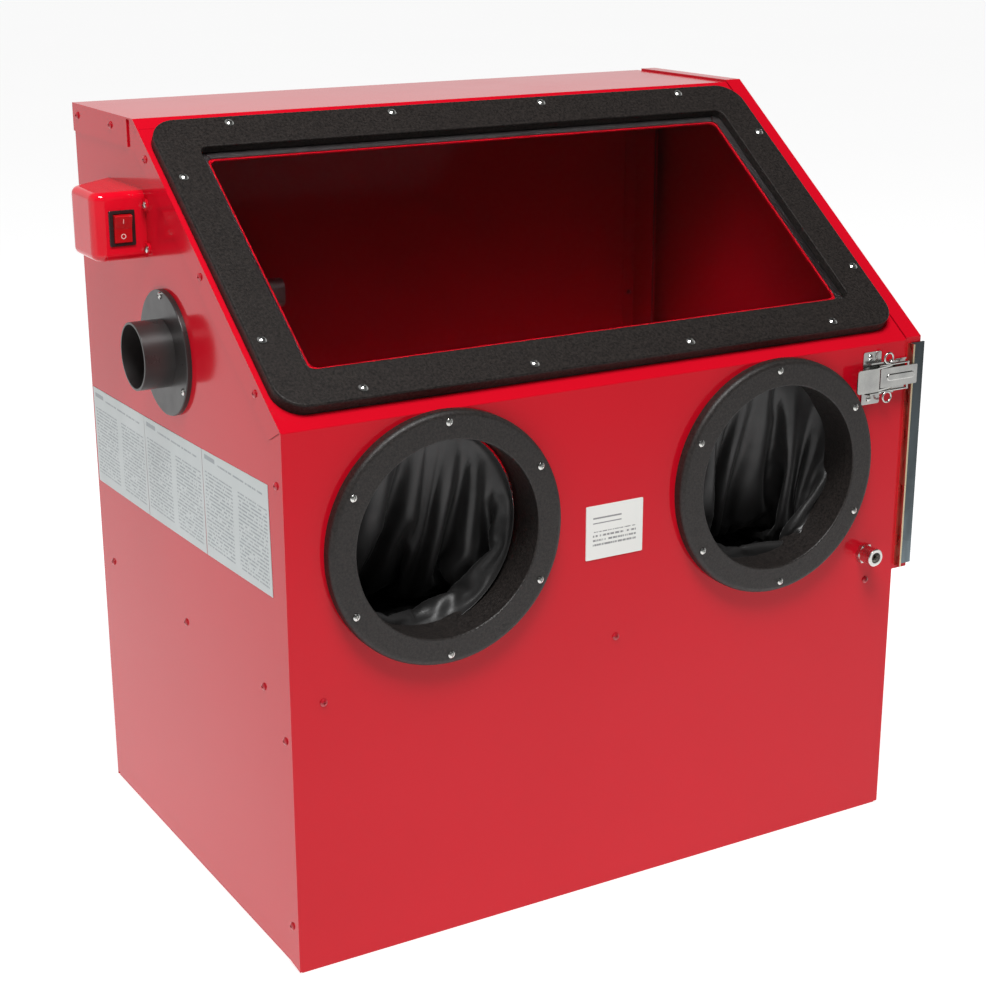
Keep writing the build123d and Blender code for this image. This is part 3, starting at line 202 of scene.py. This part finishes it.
def textured_black_plastic(name, shine):
    """The fine leather-like grain of the window frame and the glove rings."""
    s = Shader(name, IOR=1.48, Specular_IOR_Level=shine)
    fine = s.noise(420.0, 5.0, 0.7)
    s.link(s.ramp(fine, [(0.36, (0.006, 0.005, 0.0047)), (0.64, (0.026, 0.021, 0.019))]), "Base Color")
    s.link(s.spread(s.noise(300.0, 4.0, 0.6), 0.36, 0.56), "Roughness")
    grain = s.bump(s.noise(700.0, 4.0, 0.65), 0.5, 0.0006)
    s.link(s.bump(s.noise(160.0, 3.0), 0.15, 0.0006, grain), "Normal")
    return s.material


def satin_black_plastic():
    s = Shader("satin_black_plastic", IOR=1.48)
    s.link(s.ramp(s.noise(20.0), [(0.3, (0.022, 0.019, 0.019)), (0.7, (0.032, 0.029, 0.028))]), "Base Color")
    s.link(s.spread(s.noise(45.0, 5.0), 0.26, 0.38), "Roughness")
    s.link(s.bump(s.noise(900.0), 0.05, 0.0002), "Normal")
    return s.material


def black_rubber():
    s = Shader("black_rubber", IOR=1.5)
    s.link(s.ramp(s.noise(90.0), [(0.3, (0.012, 0.012, 0.012)), (0.7, (0.03, 0.029, 0.028))]), "Base Color")
    s.link(s.spread(s.noise(60.0), 0.55, 0.75), "Roughness")
    s.link(s.bump(s.noise(1200.0), 0.2, 0.0003), "Normal")
    return s.material


def gauntlet_rubber():
    """Limp rubberised cloth: near black, softly shining, with a fine woven backing in its surface."""
    s = Shader("gauntlet_rubber", IOR=1.5, Sheen_Weight=0.12, Sheen_Roughness=0.4)
    s.link(s.ramp(s.noise(25.0, 5.0), [(0.3, (0.013, 0.0125, 0.0125)), (0.7, (0.026, 0.025, 0.025))]),
           "Base Color")
    s.link(s.spread(s.noise(35.0, 5.0), 0.34, 0.5), "Roughness")
    weave = s.node("ShaderNodeTexVoronoi", Vector=s.place(), Scale=900.0).outputs["Distance"]
    cloth = s.bump(weave, 0.12, 0.0003)
    s.link(s.bump(s.noise(60.0, 4.0), 0.25, 0.0012, cloth), "Normal")
    return s.material


def window_glass():
    """A dusty pane that lamps shine through."""
    s = Shader("window_glass", Roughness=0.03, IOR=1.45, Transmission_Weight=1.0)
    tint = s.ramp(s.noise(4.0), [(0.3, (0.68, 0.63, 0.64)), (0.7, (0.74, 0.70, 0.71))])
    s.link(tint, "Base Color")
    s.link(s.spread(s.noise(40.0, 4.0), 0.02, 0.05), "Roughness")
    clear = s.node("ShaderNodeBsdfTransparent", Color=tint)
    lamps = s.node("ShaderNodeLightPath")
    mixed = s.node("ShaderNodeMixShader", Fac=lamps.outputs["Is Shadow Ray"])
    s.tree.links.new(s.bsdf.outputs["BSDF"], mixed.inputs[1])
    s.tree.links.new(clear.outputs["BSDF"], mixed.inputs[2])
    s.tree.links.new(mixed.outputs["Shader"], s.tree.nodes["Material Output"].inputs["Surface"])
    return s.material


def glossy_plastic(name, dark, light, roughness=(0.1, 0.2), **settings):
    s = Shader(name, IOR=1.5, **settings)
    s.link(s.ramp(s.noise(30.0), [(0.3, dark), (0.7, light)]), "Base Color")
    s.link(s.spread(s.noise(50.0, 4.0), *roughness), "Roughness")
    s.link(s.bump(s.noise(500.0), 0.04, 0.0002), "Normal")
    return s.material


def metal(name, dark, light, roughness, scale=200.0):
    s = Shader(name, Metallic=1.0)
    s.link(s.ramp(s.noise(scale, 4.0), [(0.3, dark), (0.7, light)]), "Base Color")
    s.link(s.spread(s.noise(scale * 1.4, 4.0), *roughness), "Roughness")
    s.link(s.bump(s.noise(scale * 4), 0.08, 0.0002), "Normal")
    return s.material


def plain_print(name, node, paper, ink, text_blocks):
    """A printed sticker: pale film, a thin border, and blocks of broken bars that stand for fine print.
    text_blocks are (left, right, bottom, top) shares of the sticker, seen from its front."""
    s = Shader(name, IOR=1.48, Coat_Weight=0.15, Coat_Roughness=0.15)
    low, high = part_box(node)
    flat = high - low
    across_x = flat.x > flat.y
    where = s.node("ShaderNodeSeparateXYZ", Vector=s.place())
    if across_x:
        u = s.spread(where.outputs["X"], 0.0, 1.0, low.x, high.x)
    else:
        u = s.spread(where.outputs["Y"], 1.0, 0.0, low.y, high.y)
    v = s.spread(where.outputs["Z"], 0.0, 1.0, low.z, high.z)

    def within(value, start, end):
        above = s.math("GREATER_THAN", value, start)
        under = s.math("LESS_THAN", value, end)
        return s.math("MULTIPLY", above, under)

    ink_mask = None
    for left, right, bottom, top, rows, broken in text_blocks:
        block = s.math("MULTIPLY", within(u, left, right), within(v, bottom, top))
        phase = s.math("FRACT", s.math("MULTIPLY", v, rows))
        line = s.math("MULTIPLY", block, s.math("LESS_THAN", phase, 0.45))
        if broken:
            row = s.math("FLOOR", s.math("MULTIPLY", v, rows))
            along = s.node("ShaderNodeCombineXYZ", X=s.math("MULTIPLY", u, 46.0), Y=s.math("MULTIPLY", row, 3.7))
            words = s.node("ShaderNodeTexNoise", Vector=along.outputs["Vector"], Scale=1.0, Detail=2.0)
            line = s.math("MULTIPLY", line, s.math("GREATER_THAN", words.outputs["Fac"], 0.44))
        ink_mask = line if ink_mask is None else s.math("MAXIMUM", ink_mask, line)
    base = s.ramp(s.noise(12.0), [(0.3, tuple(c * 0.95 for c in paper)), (0.7, paper)])
    mixed = s.tree.nodes.new("ShaderNodeMix")
    mixed.data_type = "RGBA"
    s.tree.links.new(s.math("MULTIPLY", ink_mask, 0.75), mixed.inputs["Factor"])
    s.tree.links.new(base, mixed.inputs["A"])
    mixed.inputs["B"].default_value = (*ink, 1.0)
    s.tree.links.new(mixed.outputs["Result"], s.bsdf.inputs["Base Color"])
    s.link(s.spread(s.noise(40.0), 0.3, 0.42), "Roughness")
    s.link(s.bump(s.noise(300.0), 0.04, 0.0002), "Normal")
    return s.material


def lamp_glow():
    s = Shader("lamp_glass", Roughness=0.2, IOR=1.5)
    s.link(s.ramp(s.noise(10.0), [(0.3, (0.86, 0.86, 0.83)), (0.7, (0.93, 0.93, 0.9))]), "Base Color")
    return s.material


side_print = [(0.04, 0.2, 0.84, 0.93, 9.0, False), (0.24, 0.9, 0.88, 0.92, 26.0, True),
              (0.04, 0.46, 0.1, 0.78, 30.0, True), (0.54, 0.96, 0.1, 0.78, 30.0, True)]
badge_print = [(0.12, 0.62, 0.66, 0.78, 8.0, False), (0.12, 0.88, 0.24, 0.52, 12.0, True)]

MATERIALS = {
    "red_paint": red_powder_coat(),
    "red_screw_paint": red_screw_paint(),
    "zinc_steel": zinc_plate(),
    "galvanised_strip": galvanised_strip(),
    "bare_steel": bare_steel(),
    "black_frame_plastic": textured_black_plastic("textured_black_plastic", 0.42),
    "black_spigot_plastic": satin_black_plastic(),
    "black_rubber": black_rubber(),
    "glove_fabric": gauntlet_rubber(),
    "window_glass": window_glass(),
    "red_plastic": glossy_plastic("red_plastic", (0.62, 0.003, 0.015), (0.7, 0.004, 0.018), (0.05, 0.09)),
    "black_gloss_plastic": glossy_plastic("black_gloss_plastic", (0.01, 0.01, 0.01), (0.02, 0.02, 0.02)),
    "red_rocker_plastic": glossy_plastic("red_rocker_plastic", (0.4, 0.003, 0.006), (0.5, 0.006, 0.01)),
    "plated_brass": metal("plated_brass", (0.55, 0.54, 0.52), (0.78, 0.77, 0.74), (0.2, 0.3)),
    "sticker_grey": None,
    "badge_white": plain_print("badge_white", "front_badge", (0.78, 0.78, 0.75), (0.08, 0.08, 0.09), badge_print),
    "badge_ink": glossy_plastic("pale_ink", (0.72, 0.5, 0.48), (0.82, 0.62, 0.6), (0.3, 0.4)),
    "white_paint": glossy_plastic("white_paint", (0.7, 0.7, 0.68), (0.78, 0.78, 0.76), (0.3, 0.4)),
    "white_plastic": glossy_plastic("white_plastic", (0.72, 0.72, 0.7), (0.8, 0.8, 0.78), (0.25, 0.35)),
    "lamp_glass": lamp_glow(),
    "cast_aluminium": metal("cast_aluminium", (0.4, 0.4, 0.4), (0.55, 0.55, 0.55), (0.35, 0.5), 90.0),
    "nozzle_ceramic": glossy_plastic("nozzle_ceramic", (0.66, 0.63, 0.56), (0.76, 0.73, 0.66), (0.5, 0.6)),
    "trigger_steel": glossy_plastic("trigger_steel", (0.015, 0.015, 0.015), (0.03, 0.03, 0.03), (0.3, 0.4)),
}


def dress_nodes():
    """Gives every CAD node its material; the three side stickers each get their own print."""
    for part in frame["record"]["subparts"]:
        node = frame["nodes"][part["node"]]
        material = MATERIALS[part["material_slot"]]
        if part["node"] == "window_frame":
            material = textured_black_plastic("window_frame_plastic", 0.16)
        if material is None:
            material = plain_print(part["node"], part["node"], (0.5, 0.54, 0.54), (0.17, 0.2, 0.22), side_print)
        node.data.materials.clear()
        node.data.materials.append(material)


# ---------------------------------------------------------------- gauntlets
SLEEVE_AROUND = 72
SLEEVE_ALONG = 46
SLEEVE_LENGTH = 0.40
SLEEVE_STEPS = 55
SLEEVE_TAPER = 0.42
CUFF_ROWS = 2
CUFF_RADIUS = 0.0985
CUFF_BACK = 0.012


def sleeve_mesh(name, centre, seed):
    """A slack gauntlet: a cuff over the collar, then a tapering tube."""
    rng = np.random.default_rng(seed)
    waves = rng.uniform(0, 2 * math.pi, 4)
    verts = []
    for i in range(SLEEVE_ALONG):
        t = i / (SLEEVE_ALONG - 1)
        radius = CUFF_RADIUS * (1 - SLEEVE_TAPER * t ** 1.3)
        free = min(1.0, 6 * t)
        for k in range(SLEEVE_AROUND):
            a = 2 * math.pi * k / SLEEVE_AROUND
            ripple = 1 + free * 0.03 * (math.sin(3 * a + waves[0]) + math.sin(5 * a + waves[1] + 9 * t))
            drop = -0.02 * math.sin(math.pi * t) - 0.03 * t
            verts.append((centre.x + radius * ripple * math.cos(a) + 0.012 * math.sin(7 * t + waves[2]),
                          centre.y + t * SLEEVE_LENGTH,
                          centre.z + drop + radius * ripple * math.sin(a)))
    faces = []
    for i in range(SLEEVE_ALONG - 1):
        for k in range(SLEEVE_AROUND):
            n = (k + 1) % SLEEVE_AROUND
            faces.append((i * SLEEVE_AROUND + k, i * SLEEVE_AROUND + n,
                          (i + 1) * SLEEVE_AROUND + n, (i + 1) * SLEEVE_AROUND + k))
    mesh = bpy.data.meshes.new(name)
    mesh.from_pydata(verts, [], faces)
    mesh.update()
    made = bpy.data.objects.new(name, mesh)
    bpy.context.scene.collection.objects.link(made)
    return made


def close_tip(sleeve):
    """Sews the far end shut with a fan of faces."""
    last = (SLEEVE_ALONG - 1) * SLEEVE_AROUND
    bm = bmesh.new()
    bm.from_mesh(sleeve.data)
    bm.verts.ensure_lookup_table()
    rim = [bm.verts[last + k] for k in range(SLEEVE_AROUND)]
    middle = sum((v.co for v in rim), Vector()) / len(rim)
    tip = bm.verts.new(middle)
    for k, vert in enumerate(rim):
        bm.faces.new((vert, rim[(k + 1) % SLEEVE_AROUND], tip))
    bm.to_mesh(sleeve.data)
    bm.free()


def collision_plate(name, corners):
    """A plate that only the cloth feels while it falls."""
    mesh = bpy.data.meshes.new(name)
    mesh.from_pydata(corners, [], [tuple(range(len(corners)))])
    made = bpy.data.objects.new(name, mesh)
    bpy.context.scene.collection.objects.link(made)
    made.modifiers.new("collide", "COLLISION")
    made.collision.thickness_outer = 0.002
    return made


def grate_plate():
    low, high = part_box("work_grate")
    z = high.z + 0.0015
    return collision_plate("grate_plate", [(low.x, low.y, z), (high.x, low.y, z), (high.x, high.y, z),
                                           (low.x, high.y, z)])


def drop_cloth(sleeve, steps):
    pinned = sleeve.vertex_groups.new(name="pinned")
    pinned.add(list(range(CUFF_ROWS * SLEEVE_AROUND)), 1.0, "REPLACE")
    cloth = sleeve.modifiers.new("cloth", "CLOTH")
    cloth.settings.vertex_group_mass = "pinned"
    cloth.settings.quality = 7
    cloth.settings.mass = 0.35
    cloth.settings.tension_stiffness = 18.0
    cloth.settings.compression_stiffness = 18.0
    cloth.settings.shear_stiffness = 6.0
    cloth.settings.bending_stiffness = 0.9
    cloth.settings.air_damping = 1.5
    cloth.collision_settings.use_self_collision = True
    cloth.collision_settings.self_distance_min = 0.0025
    cloth.collision_settings.distance_min = 0.002
    cloth.point_cache.frame_start = 1
    cloth.point_cache.frame_end = steps
    scene = bpy.context.scene
    for step in range(1, steps + 1):
        scene.frame_set(step)
    evaluated = sleeve.evaluated_get(bpy.context.evaluated_depsgraph_get())
    result = bpy.data.meshes.new_from_object(evaluated)
    sleeve.modifiers.clear()
    sleeve.data = result
    scene.frame_set(1)


def make_gauntlet(side, seed):
    node = f"glove_{side}"
    collar_low, collar_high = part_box(f"glove_collar_{side}")
    ring_low, ring_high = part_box(f"glove_ring_{side}")
    middle = (ring_low + ring_high) / 2
    cuff = Vector((middle.x, collar_high.y - CUFF_BACK, middle.z))
    sleeve = sleeve_mesh(f"gauntlet_{side}", cuff, seed)
    plate = grate_plate()
    drop_cloth(sleeve, SLEEVE_STEPS)
    bpy.data.objects.remove(plate)
    close_tip(sleeve)
    wall = sleeve.modifiers.new("wall", "SOLIDIFY")
    wall.thickness = 0.0012
    wall.offset = 0.0
    smooth = sleeve.modifiers.new("smooth", "SUBSURF")
    smooth.levels = smooth.render_levels = 1
    for face in sleeve.data.polygons:
        face.use_smooth = True
    sleeve.data.materials.clear()
    sleeve.data.materials.append(MATERIALS["glove_fabric"])
    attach(sleeve, "cabinet")
    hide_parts(node)


# ---------------------------------------------------------------- small details
MARK_HEIGHT = 0.00012
MARK_SIZE = 0.0042
MARK_STROKE = 0.0007


def rocker_mark(name, shape, end):
    """A printed bar or ring near one end of the rocker, lying on its tilted face."""
    rocker = frame["nodes"]["switch_rocker"]
    low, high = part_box("switch_rocker")
    middle = (low + high) / 2
    height = middle.z + end * 0.0072
    normal, point = rocker_face(rocker, height)
    bm = bmesh.new()
    if shape == "bar":
        bmesh.ops.create_cube(bm, size=1.0)
        bmesh.ops.scale(bm, vec=(MARK_STROKE, MARK_SIZE, MARK_HEIGHT), verts=bm.verts)
        bmesh.ops.bevel(bm, geom=bm.edges[:], offset=MARK_HEIGHT * 0.3, segments=1, affect="EDGES")
    else:
        ring_mesh(bm, MARK_SIZE / 2, MARK_STROKE / 2, MARK_HEIGHT / 2)
    mesh = bpy.data.meshes.new(name)
    bm.to_mesh(mesh)
    bm.free()
    side = Vector((1.0, 0.0, 0.0))
    up = normal.cross(side)
    turn = Matrix((side, up, normal)).transposed().to_4x4()
    mesh.transform(Matrix.Translation(Vector((middle.x, point.y, point.z)) + normal * MARK_HEIGHT * 0.3) @ turn)
    made = bpy.data.objects.new(name, mesh)
    bpy.context.scene.collection.objects.link(made)
    mesh.materials.append(MATERIALS["badge_ink"])
    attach(made, "switch_rocker")


def rocker_face(rocker, height):
    """The rocker's outward face at a height: its normal and a point on it."""
    best = None
    for face in rocker.data.polygons:
        if face.normal.y > -0.7:
            continue
        heights = [rocker.data.vertices[i].co.z for i in face.vertices]
        if min(heights) <= height <= max(heights) and (best is None or face.area > best.area):
            best = face
    normal = best.normal.copy()
    across = height - best.center.z
    point = Vector((best.center.x, best.center.y - across * normal.z / normal.y, height))
    return normal, point


def ring_mesh(bm, radius, half_width, half_height):
    around = 32
    rows = []
    for r, z in ((radius - half_width, -half_height), (radius + half_width, -half_height),
                 (radius + half_width, half_height), (radius - half_width, half_height)):
        rows.append([bm.verts.new((r * math.cos(2 * math.pi * k / around), r * math.sin(2 * math.pi * k / around),
                                   z)) for k in range(around)])
    for a in range(4):
        b = (a + 1) % 4
        for k in range(around):
            n = (k + 1) % around
            bm.faces.new((rows[a][k], rows[a][n], rows[b][n], rows[b][k]))
    bmesh.ops.recalc_face_normals(bm, faces=bm.faces[:])


# ---------------------------------------------------------------- stage
def make_stage():
    """A pale floor that glows a little, as a lit studio sweep does, and less so far in front."""
    mesh = bpy.data.meshes.new("floor")
    reach = 40.0
    mesh.from_pydata([(-reach, -reach, 0), (reach, -reach, 0), (reach, reach, 0), (-reach, reach, 0)], [],
                     [(0, 1, 2, 3)])
    floor = bpy.data.objects.new("floor", mesh)
    bpy.context.scene.collection.objects.link(floor)
    floor.location.z = cad_low.z - 0.0005
    s = Shader("pale_floor", Roughness=0.9, Specular_IOR_Level=0.0)
    s.link(s.ramp(s.noise(0.6), [(0.3, (0.5, 0.5, 0.5)), (0.7, (0.52, 0.52, 0.52))]), "Base Color")
    s.bsdf.inputs["Emission Color"].default_value = (1.0, 1.0, 1.0, 1.0)
    where = s.node("ShaderNodeSeparateXYZ", Vector=s.place())
    s.link(s.spread(where.outputs["Y"], 0.28, 0.84, -1.7, -0.6), "Emission Strength")
    mesh.materials.append(s.material)


def area_light(name, place, target, size, power, colour=(1.0, 1.0, 1.0)):
    data = bpy.data.lights.new(name, "AREA")
    data.shape = "RECTANGLE"
    data.size, data.size_y = size
    data.energy = power
    data.color = colour
    made = bpy.data.objects.new(name, data)
    bpy.context.scene.collection.objects.link(made)
    made.location = place
    made.rotation_euler = (Vector(target) - Vector(place)).to_track_quat("-Z", "Y").to_euler()


def make_light():
    """A bright horizon, a dark ceiling on the right, and a softbox above the operator's side."""
    world = bpy.data.worlds.new("studio")
    bpy.context.scene.world = world
    world.use_nodes = True
    tree = world.node_tree
    where = tree.nodes.new("ShaderNodeTexCoord")
    split = tree.nodes.new("ShaderNodeSeparateXYZ")
    tree.links.new(where.outputs["Generated"], split.inputs["Vector"])

    def fade(axis, start, end, first, last):
        made = tree.nodes.new("ShaderNodeMapRange")
        tree.links.new(split.outputs[axis], made.inputs["Value"])
        for key, number in (("From Min", start), ("From Max", end), ("To Min", first), ("To Max", last)):
            made.inputs[key].default_value = number
        return made.outputs["Result"]

    def multiply(a, b):
        made = tree.nodes.new("ShaderNodeMath")
        made.operation = "MULTIPLY"
        tree.links.new(a, made.inputs[0])
        tree.links.new(b, made.inputs[1])
        return made.outputs["Value"]

    height = fade("Z", 0.25, 0.75, 0.72, 0.3)
    depth = fade("Y", -0.6, 0.1, 0.15, 1.0)
    level = multiply(height, depth)
    upper = fade("Z", 0.45, 0.7, 0.0, 1.0)
    right = fade("X", -0.15, 0.12, 0.0, 0.97)
    dark = tree.nodes.new("ShaderNodeMath")
    dark.operation = "SUBTRACT"
    dark.inputs[0].default_value = 1.0
    tree.links.new(multiply(upper, right), dark.inputs[1])
    background = tree.nodes["Background"]
    background.inputs["Color"].default_value = (1.0, 1.0, 1.0, 1.0)
    tree.links.new(multiply(level, dark.outputs["Value"]), background.inputs["Strength"])
    area_light("key", (-0.5, -1.15, 2.8), (0.0, 0.0, 0.45), (1.1, 0.9), 84)


def make_camera():
    data = bpy.data.cameras.new("camera")
    data.lens = CAMERA_LENS_MM
    data.sensor_width = 36.0
    made = bpy.data.objects.new("camera", data)
    bpy.context.scene.collection.objects.link(made)
    forward = CAMERA_FORWARD.normalized()
    right = (CAMERA_RIGHT - CAMERA_RIGHT.dot(forward) * forward).normalized()
    up = right.cross(forward)
    rotation = Matrix((right, up, -forward)).transposed()
    made.matrix_world = Matrix.Translation(CAMERA_PLACE) @ rotation.to_4x4()
    bpy.context.scene.camera = made


bpy.context.scene.view_settings.view_transform = "Standard"
make_camera()
make_stage()
make_light()
dress_nodes()
rocker_mark("rocker_bar", "bar", 1)
rocker_mark("rocker_ring", "ring", -1)
make_gauntlet("left", 3)
make_gauntlet("right", 8)
